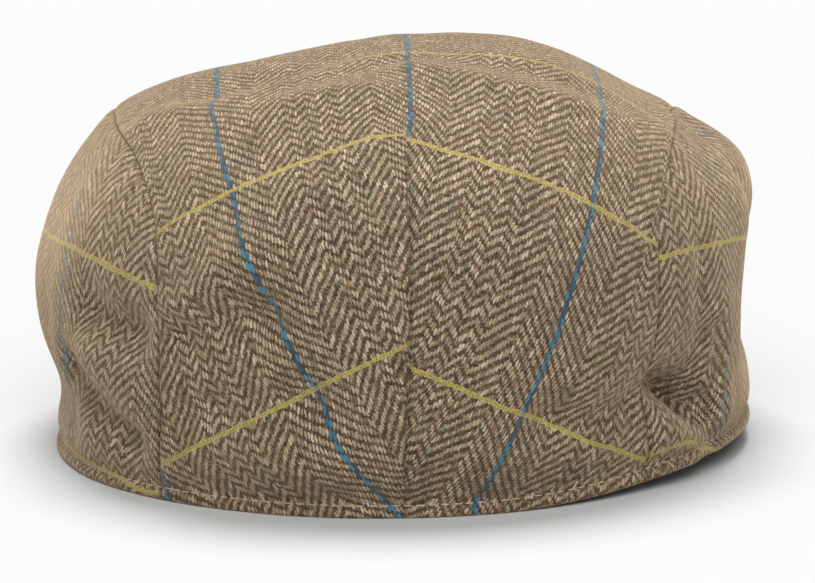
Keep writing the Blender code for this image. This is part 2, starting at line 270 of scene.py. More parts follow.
# How uneven the cloth is: scales of noise per yarn, and moves in yarns
BEND_SCALES = (0.07, 0.06)  # across, along
BEND = 2.4
JITTER_SCALE = 0.55
JITTER = (1.3, 1.5)
FINE_SCALE = 2.4
FIBRE_SCALE = 2.9
FIBRE_WAY = (0.35, 0.4)
FRAY = (0.55, 1.1)
STREAK_SCALE, STREAK_STRETCH = 0.7, 0.06
PATCH_SCALE, PATCH_SPREAD = 0.045, 0.3
# where painted shade darkens gaps between the yarns: the noise's scale and its step
HOLE_SCALE, HOLE_STEP = 1.3, (0.36, 0.56, 0.85, 0.0)
FINE_HEIGHT = 0.35
BUMP_STRENGTH, BUMP_HEIGHT = 0.55, 0.22 * MM
ROUGH = (0.12, -0.06, 0.84)  # with the fine noise, on the floats, all over

# Painted shade of round yarns: how much the brightness falls from the middle of a yarn, and the middle's
WARP_ROUND_SHADE = (0.38, 1.12)
WEFT_ROUND_SHADE = (1.6, 1.1)
YELLOW_ROUND_SHADE = (1.4, 1.12)
# How much it changes with the float, the fibres and the streaks, and what is added
FLOAT_SPREAD, FIBRE_SPREAD, STREAK_SPREAD = 0.34, 1.5, 0.36
BLUE_FIBRE = (0.9, 0.6)
WEFT_FIBRE = (1.6, 0.25)
BLUE_GAP_SHARE = 0.8
GOLD_EDGE = (0.3, 0.7)

# Colours as they look on a screen, 0 to 255
WARP_COLOURS = (
    # from this share of the floats on, colour
    (0.0, (164, 145, 119)),
    (0.25, (149, 131, 106)),
    (0.5, (173, 155, 131)),
    (0.72, (147, 127, 107)),
    (0.88, (138, 130, 95)),
    (0.95, (132, 102, 77)),
    (0.98, (121, 123, 96)),
)
WEFT_DARK = (65, 51, 39)
WEFT_LIGHT = (101, 84, 64)
# painted shade in the gaps between the yarns
PAINTED_GAP_SHADE = (42, 33, 25)
BLUE_DEEP = (26, 50, 67)
BLUE_BRIGHT = (60, 106, 125)
BLUE_GAP = (44, 48, 50)
YELLOW_DEEP = (116, 102, 42)
YELLOW_BRIGHT = (165, 152, 80)
SHEEN = (232, 204, 166)
THREAD_DARK = (120, 105, 84)
THREAD_LIGHT = (196, 184, 158)

# The studio
SENSOR_WIDTH = 36
FLOOR_REACH = 4.0
FLOOR_GREY = 0.51
LAMP_HEIGHT = 2
WORLD_LIGHT = 0.24
LAMPS = (
    # name, strength, spread, degrees from overhead towards the back of the cap and to its right
    ("overhead", 3.6, 32, -18, 0),
    ("high", 2.0, 46, 42, 0),
    ("low", 1.2, 50, 72, 2),
)

# Peak and thread
PEAK_CELLS = (16, 4)
PEAK_LEVELS = 3
PEAK_CLOTH_SHIFT = (0.0, 0.35)
STITCH_PITCH = 3.0 * MM
STITCH_LENGTH = 2.5 * MM
THREAD_RADIUS = 0.2 * MM
THREAD_SIDES = 6
THREAD_RINGS = 7
TWIST_SCALE = 2600.0
STITCH_SEED = 5
STITCH_SHIFTS = (-0.15, 0.15)  # mm
STITCH_LIFTS = (0.1, 0.5)  # thread radii
STITCH_AHEAD = 0.3 * MM  # to find which way the thread runs
STITCH_END_DIP = 1.6 * THREAD_RADIUS
STITCH_END_NARROWS = 0.35
STITCH_END_POWER = 4


# The view from behind

BACK_SWELL = max(section[1] for section in SECTIONS)
MIDDLE = Vector((LEFT_SWELL / 2, (HEM_BACK * BACK_SWELL - PEAK_END) / 2, 0))
VIEW_DISTANCE = 1.175
VIEW_ELEVATION = math.radians(12.0)
VIEW_ROLL = math.radians(-0.9)
PIXELS_PER_MM = 3.76
IMAGE_WIDTH, IMAGE_HEIGHT = 815, 583
MIDDLE_PIXEL = (403, 434.5)
FOCAL_PIXELS = PIXELS_PER_MM * VIEW_DISTANCE / MM
EYE = MIDDLE + VIEW_DISTANCE * Vector((0, -math.cos(VIEW_ELEVATION), math.sin(VIEW_ELEVATION)))


def looking_at(place):
    """The camera's right, up and back as columns, when it looks at a place from the eye."""
    turn = (place - EYE).to_track_quat("-Z", "Y").to_matrix()
    return turn @ Matrix.Rotation(VIEW_ROLL, 3, "Z")


def seen_from_behind(points):
    """Where points round the cap's middle show from behind: millimetres across and up on the plane through
    its middle that faces the eye, and their distance."""
    right, up, back = (np.array(c) for c in looking_at(MIDDLE).transposed())
    away = points + np.array(MIDDLE - EYE)
    deep = -(away @ back)
    return np.stack([away @ right / deep, away @ up / deep], axis=-1) * VIEW_DISTANCE / MM, deep


# Lines and ways


def unit(way):
    return way / np.linalg.norm(way, axis=-1, keepdims=True)


def smooth_step(x):
    x = np.clip(x, 0, 1)
    return x * x * (3 - 2 * x)


def running(points, axis):
    """Running lengths along the rows or columns of a grid of points."""
    steps = np.linalg.norm(np.diff(points, axis=axis), axis=-1)
    zero = np.zeros_like(np.take(steps, [0], axis=axis))
    return np.concatenate([zero, steps.cumsum(axis=axis)], axis=axis)


def read_at(at, length, line):
    """The places on a line at some running lengths."""
    return np.stack([np.interp(at, length, line[:, i]) for i in range(line.shape[1])], axis=-1)


def from_segment(points, a, b):
    """How far points are from the straight piece between two places."""
    along = np.clip((points - a) @ (b - a) / ((b - a) @ (b - a)), 0, 1)
    return np.linalg.norm(points - a - along[..., None] * (b - a), axis=-1)


def turned_area(a, b, c):
    """Twice the area of flat triangles, negative where they run clockwise."""
    b, c = b - a, c - a
    return b[..., 0] * c[..., 1] - b[..., 1] * c[..., 0]


# The crown's surface


def curve_through(rows, at):
    """A smooth curve through the rows of an array, read at row numbers that may lie between two rows."""
    at = np.clip(at, 0, len(rows) - 3)
    first = np.minimum(at.astype(int), len(rows) - 4)
    t = (at - first)[..., None]
    a, b, c, d = (rows[first + i] for i in range(4))
    return b + t / 2 * (c - a + t * (2 * a - 5 * b + 4 * c - d + t * (3 * (b - c) + d - a)))


def sections_with_ends():
    """The sections with one more before the hem and after the top, for a smooth curve."""
    rows = np.array(SECTIONS)
    before, after = rows[1].copy(), rows[-2].copy()
    before[3:] = 2 * rows[0, 3:] - rows[1, 3:]
    after[:3] = -rows[-2, :3]
    return np.vstack([before, rows, after])


def peak_half_width(y):
    share = np.clip((y - HEAD_CORNER) / (PEAK_END - HEAD_CORNER), 0, 1)
    return PEAK_HALF_WIDTH * np.sqrt(1 - share ** 2)


def peak_edge_height(y):
    side = (HEAD_FRONT + HEAD_CORNER + PEAK_LENGTH) / 2
    return PEAK_DROP + (PEAK_TIP - PEAK_DROP) * smooth_step((y - side) / (PEAK_END - side)) ** 2


def peak_height(x, y):
    fall = np.clip((y - HEAD_FRONT) / (PEAK_END - HEAD_FRONT), 0, 1) ** 2
    middle = PEAK_TOP + (PEAK_TIP - PEAK_TOP) * fall
    edge = peak_edge_height(y)
    across = np.clip(np.abs(x) / np.maximum(peak_half_width(y), TINY), 0, 1)
    return edge + (middle - edge) * (1 - across ** 2)


def hem_height(x, y):
    """How high the hem hangs: on the floor at the back, on the peak at the front, lifted on the right."""
    inward = 1 - CLOTH_THICKNESS / np.maximum(np.hypot(x, y), TINY)
    over_peak = peak_height(x * inward, y * inward) - peak_edge_height(y * inward)
    rise = smooth_step(y / HEAD_CORNER) * (peak_edge_height(y * inward) + PEAK_CLEARANCE)
    lift = HEM_LIFT * smooth_step(x / HEM_HALF_WIDTH) ** 2
    return rise + np.where(y > HEAD_CORNER, over_peak, 0) + lift * (1 - smooth_step(y / HEAD_CORNER))


def bare_crown(disc):
    """The crown without its folds, from places on the unit disc."""
    out = np.hypot(disc[..., 0], disc[..., 1])
    around = np.arctan2(disc[..., 1], disc[..., 0])
    top = len(SECTIONS) - 1
    row = curve_through(sections_with_ends(), (1 - out) * top)
    sine = np.sin(around)
    to_front = sine > 0
    x = HEM_HALF_WIDTH * row[..., 0] * np.cos(around)
    y = sine * np.where(to_front, CROWN_FRONT * row[..., 2], HEM_BACK * row[..., 1])
    high = row[..., 4] + (np.where(to_front, row[..., 5], row[..., 3]) - row[..., 4]) * sine ** 2
    reach = np.where(to_front, CROWN_FRONT, HEM_BACK)
    hem = hem_height(HEM_HALF_WIDTH * np.cos(around), reach * sine) + HEM_BAND
    return np.stack([x, y, hem + (CROWN_HEIGHT - hem) * high], axis=-1)


def normals(disc):
    across, along = (bare_crown(disc + step) - bare_crown(disc - step) for step in np.eye(2) * SURFACE_STEP)
    return unit(np.cross(across, along))


def on_disc(around, section):
    out = 1 - section / (len(SECTIONS) - 1)
    turn = np.radians(around)
    return np.stack([out * np.cos(turn), out * np.sin(turn)], axis=-1)


def above_hem(points):
    """From 0 at the hem to 1 where the folds reach their full depth."""
    return smooth_step((points[..., 2] - hem_height(points[..., 0], points[..., 1])) / FOLDS_START)


def crown(disc):
    points = bare_crown(disc)
    move = np.zeros(points.shape[:-1])
    for from_around, from_section, to_around, to_section, width, stands_out in FOLDS:
        ends = bare_crown(on_disc(from_around, from_section)), bare_crown(on_disc(to_around, to_section))
        move += stands_out * np.exp(-(from_segment(points, *ends) / width) ** 2)
    return points + normals(disc) * (move * above_hem(points))[..., None]


def stations(length, start_fine, end_fine):
    """Places along a length, closer together at an end where a seam rolls over."""
    near = np.array(NEAR_EDGE) * MM
    start = near if start_fine else near[:1]
    end = length - (near[::-1] if end_fine else near[:1])
    cells = max(2, round((end[0] - start[-1]) / CELL))
    inner = np.linspace(start[-1], end[0], cells + 1)
    return np.concatenate([start[:-1], inner, end[1:]]) / length


def seam_line(side):
    """A function that reads parts of a side seam on the disc, and the lengths at its ends and turns."""
    table = np.array(SIDE_SEAMS)
    places = on_disc(table[:, 0 if side > 0 else 1], table[:, 2])
    ends = np.vstack([2 * places[0] - places[1], places, 2 * places[-1] - places[-2]])
    fine = np.linspace(0, len(table) - 1, SEAM_STEPS)
    line = curve_through(ends, fine)
    length = running(bare_crown(line), 0)

    def part(start, end, shares):
        return read_at(start + (end - start) * shares, length, line * (side, 1))

    return part, np.interp((0, *SEAM_TURNS, len(table) - 1), fine, length)


def patch(bottom, top, left, right, across, along):
    """A grid of places between four edges that meet at their ends."""
    u, v = across[None, :, None], along[:, None, None]
    edges = (1 - v) * bottom[None] + v * top[None] + (1 - u) * left[:, None] + u * right[:, None]
    corners = (1 - v) * ((1 - u) * left[0] + u * right[0]) + v * ((1 - u) * left[-1] + u * right[-1])
    return edges - corners


def hem_arc(start, end, shares):
    start, end = (math.degrees(math.atan2(place[1], place[0])) for place in (start, end))
    return on_disc(start + (end - start) * shares, 0)


def waves(points, pitch, seed):
    """A soft uneven wave over space, between about -1 and 1."""
    draw = random.Random(seed)
    total = np.zeros(points.shape[:-1])
    for _ in range(WAVE_COUNT):
        way = Vector([draw.gauss(0, 1) for _ in range(3)]).normalized()
        run = points @ np.array(way) * 2 * math.pi / (pitch * draw.uniform(*WAVE_PITCHES))
        total += np.sin(run + draw.uniform(*WAVE_STARTS))
    return total / (WAVE_COUNT / 2)


def folds_behind():
    """The soft folds as (stands out, width, points on the crown), found by where they show from behind."""
    around, section = np.meshgrid(np.linspace(*BACK_AROUND), np.linspace(*BACK_SECTIONS))
    disc = on_disc(around, section)
    points = crown(disc)
    shown, _ = seen_from_behind(points)
    faces = (normals(disc) * (np.array(EYE - MIDDLE) - points)).sum(-1) > 0
    points, shown = points[faces], shown[faces]
    return [
        (stands_out, width, points[[np.argmin(np.hypot(*(shown - place).T)) for place in places]])
        for stands_out, width, places in SOFT_FOLDS
    ]


def soft_relief(points):
    """How far the soft folds and waves move the crown's points out."""
    move = np.zeros(points.shape[:-1])
    for stands_out, width, places in FOLDS_BEHIND:
        far = np.min([from_segment(points, a, b) for a, b in zip(places[:-1], places[1:])], axis=0)
        move += stands_out * np.exp(-(far / width) ** 2)
    return move + sum(size * waves(points, pitch, seed) for size, pitch, seed in SOFT_WAVES)


FOLDS_BEHIND = folds_behind()


def half_gap(edge, inner):
    """The way that draws a panel's edge back for its half of a seam's gap."""
    way = inner - edge
    return way * SEAM_GAP / 2 / np.linalg.norm(way, axis=-1, keepdims=True)


def sewn(disc, seams):
    """The cloth's outer surface: the crown, let in at its seams and with small puckers along them. Each
    seam is (distance from it, running length along it, roll, dip, share of the puckers)."""
    base = crown(disc)
    depth = np.zeros(base.shape[:-1])
    pucker = np.zeros_like(depth)
    shift_by, shift_pitch, shift_seed = PUCKER_SHIFT
    shift = shift_by * waves(base, shift_pitch, shift_seed)
    for far, run, roll, dip, share in seams:
        depth = np.maximum(depth, dip * np.clip(1 - far / roll, 0, 1) ** 2)
        wave = np.sin(2 * math.pi * run / PUCKER_PITCH + shift)
        pucker += share * wave * np.exp(-(far / PUCKER_REACH) ** 2) * np.clip(far / SEAM_ROLL, 0, 1)
    move = PUCKER * pucker + soft_relief(base)
    move = move * (HEM_HOLD + (1 - HEM_HOLD) * above_hem(base)) - depth
    points = base + normals(disc) * move[..., None]
    for edge, inner in ((0, 1), (-1, -2)):
        points[:, edge] += half_gap(points[:, edge], points[:, inner])
    return points


# The cloth laid out flat


def cut_triangles(left, right, middle):
    """The triangles of a grid that is cut along its middle column, and the half that each is in."""
    triangles, halves = [], []
    for grid, columns, half in ((left, range(middle), -1), (right, range(middle, left.shape[1] - 1), 1)):
        for c in columns:
            a, b, d, e = grid[:-1, c], grid[:-1, c + 1], grid[1:, c + 1], grid[1:, c]
            triangles += [np.stack([a, b, d], -1), np.stack([a, d, e], -1)]
            halves += [half] * 2 * len(a)
    return np.concatenate(triangles), np.array(halves)


def flattened(points, triangles, start, pins):
    """Lays a sheet out flat without stretching it more than it must, pinned at some places. start is the
    first guess of the flat places and a pin is (three vertices, their shares, axis, value)."""
    corner = points[triangles]
    one, two = corner[:, 1] - corner[:, 0], corner[:, 2] - corner[:, 0]
    length = np.linalg.norm(one, axis=-1)
    along = (two * one).sum(-1) / length
    high = np.linalg.norm(np.cross(one, two), axis=-1) / length
    zero = np.zeros_like(length)
    flat = np.stack([np.stack(place, -1) for place in ((zero, zero), (length, zero), (along, high))], 1)
    count = len(points)
    stiff = np.zeros((count, count))
    edges = []
    for k in range(3):
        i, j = (k + 1) % 3, (k + 2) % 3
        p, q = flat[:, i] - flat[:, k], flat[:, j] - flat[:, k]
        cot = np.maximum((p * q).sum(-1) / np.abs(p[:, 0] * q[:, 1] - p[:, 1] * q[:, 0]), LEAST_STIFFNESS)
        edges.append((triangles[:, i], triangles[:, j], flat[:, i] - flat[:, j], cot))
        for a, b, sign in ((i, i, 1), (j, j, 1), (i, j, -1), (j, i, -1)):
            np.add.at(stiff, (triangles[:, a], triangles[:, b]), sign * cot)
    solve, pull = [], np.zeros((count, 2))
    for axis in range(2):
        held = stiff + np.eye(count) * LOOSE_HOLD
        for three, shares, pinned_axis, value in pins:
            if pinned_axis == axis:
                held[np.ix_(three, three)] += PIN_STRENGTH * np.outer(shares, shares)
                pull[three, axis] += PIN_STRENGTH * shares * value
        solve.append(np.linalg.inv(held))
    place = start.copy()
    for _ in range(FLAT_ROUNDS):
        s = sum(
            cot[:, None, None] * (place[a] - place[b])[:, :, None] * way[:, None, :]
            for a, b, way, cot in edges
        )
        turn = np.arctan2(s[:, 1, 0] - s[:, 0, 1], s[:, 0, 0] + s[:, 1, 1])
        cos, sin = np.cos(turn), np.sin(turn)
        side = pull.copy()
        for a, b, way, cot in edges:
            x, y = way[:, 0], way[:, 1]
            turned = np.stack([cos * x - sin * y, sin * x + cos * y], -1) * cot[:, None]
            np.add.at(side, a, turned)
            np.add.at(side, b, -turned)
        place = np.stack([solve[axis] @ side[:, axis] for axis in range(2)], -1)
    return place


def pins_of(checks, points, triangles, halves):
    """The pins that hold the checks where they show from behind."""
    places, deep = seen_from_behind(points)
    corner = places[triangles]
    a, b, c = corner[:, 0], corner[:, 1], corner[:, 2]
    area = turned_area(a, b, c)
    pins = []
    for colour, number, half, route in checks:
        for place in np.array(route, float):
            share_b, share_c = turned_area(a, place, c) / area, turned_area(a, b, place) / area
            shares = np.stack([1 - share_b - share_c, share_b, share_c], -1)
            hit = np.flatnonzero((shares.min(-1) > -ON_EDGE) & (area > NO_AREA) & (halves == half))
            if len(hit):
                best = hit[np.argmin(deep[triangles[hit, 0]])]
                pins.append((triangles[best], shares[best], colour, number * REPEAT[colour]))
    return pins


def cloth_of(points, across, along, checks, middle, cut_rows, start, cell):
    """Flat places (across, along the cloth) of a grid of points, as one grid for the left of the cut and
    one for its right. start gives the first guess from the running lengths."""
    def spaced(start, end, count):
        return np.round(np.linspace(start, end, count)).astype(int)

    rows = np.unique(spaced(0, len(along) - 1, max(LEAST_CELLS, round(along[-1] / cell))))
    every = max(LEAST_CELLS, round(across[-1] / cell)) // 2 + 1
    columns = np.unique([*spaced(0, middle, every), *spaced(middle, len(across) - 1, every)])
    coarse = points[np.ix_(rows, columns)]
    m = int(np.searchsorted(columns, middle))
    cut = int(np.searchsorted(rows, cut_rows))
    left = np.arange(len(rows) * len(columns)).reshape(coarse.shape[:2])
    right = left.copy()
    right[:cut, m] = left.size + np.arange(cut)
    vertices = np.vstack([coarse.reshape(-1, 3), coarse[:cut, m]])
    guess = np.vstack([start[np.ix_(rows, columns)].reshape(-1, 2), start[rows[:cut], middle]])
    triangles, halves = cut_triangles(left, right, m)
    if not cut:
        halves[:] = checks[0][2]
    pins = pins_of(checks, vertices, triangles, halves)
    place = flattened(vertices, triangles, guess, pins)

    def spread(grid):
        """The flat places of all the points, from those of some rows and columns."""
        flat = place[grid]
        by_row = np.stack([read_at(along, along[rows], flat[:, c]) for c in range(len(columns))], 1)
        return np.stack([read_at(across, across[columns], row) for row in by_row])

    area = np.abs(turned_area(*(place[triangles[:, i]] for i in range(3)))).sum() / 2
    size = [round(float(length), 3) for length in np.ptp(place, axis=0)]
    return (spread(left), spread(right)), {"flat": size, "area": round(float(area), 5)}


# Meshes


def added(name, data):
    """A new object in the scene."""
    obj = bpy.data.objects.new(name, data)
    bpy.context.scene.collection.objects.link(obj)
    return obj


def grid_normals(points):
    return unit(np.cross(np.gradient(points, axis=1), np.gradient(points, axis=0)))


def quads_between(rows, following, columns):
    """The corners of the cells between rows of a grid and the rows that follow them."""
    a, b = (row[:, None] * columns + np.arange(columns - 1) for row in (rows, following))
    return np.stack([a, a + 1, b + 1, b], -1)


def mesh_of(name, vertices, faces):
    mesh = bpy.data.meshes.new(name)
    mesh.from_pydata(vertices, [], faces)
    return mesh


def dressed(mesh, cloth, near, blue_share):
    """Adds a mesh to the scene, with the cloth's places on its corners and numbers for the material."""
    layer = mesh.uv_layers.new(name="cloth")
    layer.uv.foreach_set("vector", cloth.astype(np.float32).ravel())
    for name, values in (("near_seam", near), ("blue_share", blue_share)):
        layer = mesh.attributes.new(name, "FLOAT", "POINT")
        layer.data.foreach_set("value", np.broadcast_to(values, len(mesh.vertices)).astype(np.float32))
    mesh.shade_smooth()
    return added(mesh.name, mesh)


def shell(name, outer, cloth, middle, near, both_hems, blue_share):
    """A cloth wall with rounded hems as one closed mesh, with the cloth's places on its corners.

    cloth is two grids of flat places, left and right of the column middle, near the distance to the
    nearest seam, both_hems whether the last row is a hem too and blue_share how much of the blue lines
    shows."""
    half = CLOTH_THICKNESS / 2
    n = grid_normals(outer)
    inner = outer - n * CLOTH_THICKNESS
    turns = np.linspace(0, math.pi, HEM_ARC + 2)[1:-1]

    def arc(row, beyond):
        down = unit(outer[row] - outer[beyond])
        centre = outer[row] - n[row] * half
        return [centre + half * (math.cos(t) * n[row] + math.sin(t) * down) for t in turns]

    def arc_cloth(flat, row, beyond):
        way = unit(flat[row] - flat[beyond])
        return [flat[row] + way * half * t for t in turns]

    def round_wall(there, back, at_end, at_start):
        """The rows of the outer side, of its last edge, of the inner side and of its first edge."""
        return np.array([*there, *(at_end if both_hems else ()), *back[::-1], *at_start[::-1]])

    rows = round_wall(outer, inner, arc(-1, -2), arc(0, 1))
    rows[..., 2] = np.maximum(rows[..., 2], 0)  # nothing sinks into the floor
    flats = [round_wall(side, side, arc_cloth(side, -1, -2), arc_cloth(side, 0, 1)) for side in cloth]
    nears = round_wall(near, near, [near[-1]] * HEM_ARC, [near[0]] * HEM_ARC)
    outer_rows = len(outer)
    first_inner = outer_rows + HEM_ARC * both_hems
    count, columns = rows.shape[:2]
    every = np.arange(count)
    quads = quads_between(every, np.roll(every, -1), columns).reshape(-1, 4)
    right_half = np.tile(np.arange(columns - 1) >= middle, count)
    left, right = (flat.reshape(-1, 2)[quads] for flat in flats)
    faces = quads.tolist()
    places = [np.where(right_half[:, None, None], right, left).reshape(-1, 2)]
    for column, flat, flip in ((0, flats[0], False), (columns - 1, flats[1], True)):
        pairs = [(o, first_inner + outer_rows - 1 - o) for o in range(outer_rows)]
        for (a, b), (d, e) in zip(pairs[:-1], pairs[1:]):
            ring = [a, b, e, d] if flip else [a, d, e, b]
            faces.append([k * columns + column for k in ring])
            places.append(flat[ring, column])
        ends = [(outer_rows - 1, first_inner)] * both_hems + [(first_inner + outer_rows - 1, 0)]
        for start, end in ends:
            ring = [*range(start, end or count), end]
            ring = ring[::-1] if flip else ring
            faces.append([k * columns + column for k in ring])
            places.append(flat[ring, column])
    mesh = mesh_of(name, rows.reshape(-1, 3).tolist(), faces)
    return dressed(mesh, np.concatenate(places) / REPEAT, nears.reshape(-1), blue_share)


def with_hem(points, near, both_ends):
    """Adds the short upright rows of a hem below the crown's first row and, if wanted, its last."""
    share = 1 - CLOTH_THICKNESS / 2 / HEM_BAND

    def rows(edge):
        out = unit(edge * (1, 1, 0))
        return [edge - (0, 0, d * MM * share) + out * HEM_STITCH_DIP * (1 - left) for d, left in HEM_ROWS[1:]]

    lower, upper = rows(points[0])[::-1], rows(points[-1]) if both_ends else []
    near = [near[0]] * len(lower) + [*near] + [near[-1]] * len(upper)
    return np.array([*lower, *points, *upper]), np.array(near)


def laid_and_made(name, points, middle, near, both_hems, checks, cut_rows, kind, blue_share):
    """A panel's piece, its points and what it is cut from. kind is 0 for the top panel, 1 for the sides."""
    over, up = running(points, 1), running(points, 0)
    start = np.stack([over - over[:, middle:middle + 1], up - FIRST_YELLOW[kind]], -1)
    across = over[len(points) // TYPICAL_ROW[kind]]
    cloth, cut = cloth_of(points, across, up[:, middle], checks, middle, cut_rows, start, FLAT_CELLS[kind])
    return shell(name, points, cloth, middle, near, both_hems, blue_share), points, cut


def top_panel():
    (left_seam, left_turns), (right_seam, right_turns) = seam_line(-1), seam_line(1)
    along = stations(right_turns[-1], False, False)
    left, right = left_seam(0, left_turns[-1], along), right_seam(0, right_turns[-1], along)
    width = np.linalg.norm(bare_crown(left[0]) - bare_crown(right[0])) * BACK_BULGE
    side = stations(width / 2, True, True) / 2
    across = np.concatenate([side, 1 - side[-2::-1]])
    middle = len(side) - 1
    bottom, top = hem_arc(left[0], right[0], across), hem_arc(left[-1], right[-1], across)
    disc = patch(bottom, top, left, right, across, along)
    plain = crown(disc)
    over, up = running(plain, 1), running(plain, 0)
    up_back = up[:, middle] + HEM_BAND
    fade = smooth_step((DART_LENGTH - up_back) / DART_FADE)[:, None]
    from_dart = np.abs(over - over[:, middle:middle + 1])
    from_left, from_right = over, over[:, -1:] - over
    points = sewn(disc, (
        (from_left, up, *SEAM), (from_right, up, *SEAM), (from_dart, up, DART_ROLL, DART_DIP * fade, fade),
        (up, over, *HEM), (up[-1:] - up, over, *HEM),
    ))
    near = np.minimum(np.minimum(from_left, from_right), np.where(fade > DART_SHOWS, from_dart, FAR))
    cut_rows = int(np.searchsorted(up_back, DART_LENGTH)) + len(HEM_ROWS) - 1
    points, near = with_hem(points, near, True)
    return laid_and_made("top_panel_cloth", points, middle, near, True, TOP_CHECKS, cut_rows, 0, 1)


def side_panel(name, side, checks):
    seam, turns = seam_line(side)
    across = stations(turns[2] - turns[1], True, True)
    along = stations(turns[1], False, True)
    back, front = seam(turns[0], turns[1], along), seam(turns[3], turns[2], along)
    top = seam(turns[1], turns[2], across)
    bottom = hem_arc(back[0] * (side, 1), front[0] * (side, 1), across) * (side, 1)
    disc = patch(bottom, top, back, front, across, along)
    plain = crown(disc)
    over, up = running(plain, 1), running(plain, 0)
    from_back, from_front, from_top = over, over[:, -1:] - over, up[-1:] - up
    points = sewn(disc, (
        (from_back, up, *SEAM), (from_front, up, *SEAM), (from_top, over, *SEAM), (up, over, *HEM),
    ))
    points[-1] += half_gap(points[-1], points[-2])
    near = np.minimum(np.minimum(from_back, from_front), from_top)
    points, near = with_hem(points, near, False)
    points, near = points[:, ::side], near[:, ::side]
    middle = points.shape[1] // 2
    return laid_and_made(name, points, middle, near, False, checks, 0, 1, SIDE_BLUE[side > 0])


def peak_piece():
    """The stiff peak, covered with cloth: the same outline and heights as the solid's, divided finely."""
    across_cells, out_cells = PEAK_CELLS
    turn = np.linspace(math.pi, 0, across_cells + 1)[:, None]
    start = math.asin(HEAD_CORNER / HEAD_FRONT)
    inner_turn = math.pi / 2 + (turn - math.pi / 2) * (1 - start / (math.pi / 2))
    corner = (PEAK_HALF_WIDTH - PEAK_CORNER_WIDTH) / math.cos(start)
    inner = np.hstack([corner * np.cos(inner_turn), HEAD_FRONT * np.sin(inner_turn)])
    y = HEAD_CORNER + (PEAK_END - HEAD_CORNER) * np.sin(turn)
    outer = np.hstack([np.sign(np.cos(turn)) * peak_half_width(y), y])
    out = np.linspace(0, 1, out_cells + 1)[:, None, None]
    plan = inner + (outer - inner) * out
    points = np.dstack([plan, peak_height(plan[..., 0], plan[..., 1])])
    rows = np.arange(out_cells)
    quads = quads_between(rows, rows + 1, across_cells + 1)
    cage = mesh_of("peak_cage", points.reshape(-1, 3).tolist(), quads.reshape(-1, 4).tolist())
    cage = added("peak_cage", cage)
    wall = cage.modifiers.new("Thickness", "SOLIDIFY")
    wall.thickness = PEAK_THICKNESS
    wall.offset = -1
    fine = cage.modifiers.new("Divide", "SUBSURF")
    fine.levels = fine.render_levels = PEAK_LEVELS
    made = bpy.data.meshes.new_from_object(cage.evaluated_get(bpy.context.evaluated_depsgraph_get()))
    bpy.data.objects.remove(cage, do_unlink=True)
    made.name = "peak_cloth"
    flat = np.array([vertex.co[:2] for vertex in made.vertices]) / REPEAT + PEAK_CLOTH_SHIFT
    return dressed(made, flat[[corner.vertex_index for corner in made.loops]], FAR, 1)


def stitches(name, lines):
    """Stitches along lines of points on the cloth, each a short thread that dips in at its ends. A line
    is (points, normals)."""
    vertices, faces = [], []
    ring = [2 * math.pi * k / THREAD_SIDES for k in range(THREAD_SIDES)]
    shares = np.linspace(-1, 1, THREAD_RINGS)
    draw = random.Random(STITCH_SEED)
    for points, out in lines:
        length = running(points, 0)
        for n in range(int(length[-1] / STITCH_PITCH)):
            middle = (n + 0.5) * STITCH_PITCH + draw.uniform(*STITCH_SHIFTS) * MM
            lift = THREAD_RADIUS * draw.uniform(*STITCH_LIFTS)
            first = len(vertices)
            last = first + (THREAD_RINGS - 1) * THREAD_SIDES
            for share in shares:
                at = middle + share * STITCH_LENGTH / 2
                place, up = read_at(at, length, points), read_at(at, length, out)
                side = np.cross(read_at(at + STITCH_AHEAD, length, points) - place, up)
                side /= np.linalg.norm(side) + NOTHING
                at_end = share ** STITCH_END_POWER
                centre = place + up * (lift - STITCH_END_DIP * at_end)
                wide = THREAD_RADIUS * (1 - STITCH_END_NARROWS * at_end)
                vertices += [tuple(centre + wide * (math.cos(t) * side + math.sin(t) * up)) for t in ring]
            for k in range(first, last, THREAD_SIDES):
                for j in range(THREAD_SIDES):
                    a, b = k + j, k + (j + 1) % THREAD_SIDES
                    faces.append((a, b, b + THREAD_SIDES, a + THREAD_SIDES))
            faces.append(tuple(range(first + THREAD_SIDES - 1, first - 1, -1)))
            faces.append(tuple(range(last, last + THREAD_SIDES)))
    mesh = mesh_of(name, vertices, faces)
    mesh.shade_smooth()
    return added(name, mesh)


# Materials


def linear(colour):
    """A colour given as it looks on a screen, 0 to 255, as light, by the sRGB curve."""
    shares = (c / 255 for c in colour)
    return tuple(c / 12.92 if c <= 0.04045 else ((c + 0.055) / 1.055) ** 2.4 for c in shares) + (1.0,)


def feed(tree, inputs, values):
    """Links or sets inputs of a node, given by name or number."""
    for place, value in values.items():
        value = value.socket if isinstance(value, Number) else value
        if isinstance(value, bpy.types.NodeSocket):
            tree.links.new(value, inputs[place])
        else:
            inputs[place].default_value = value


def new_node(tree, kind, values, **settings):
    made = tree.nodes.new("ShaderNode" + kind)
    for name, value in settings.items():
        setattr(made, name, value)
    feed(tree, made.inputs, values)
    return made


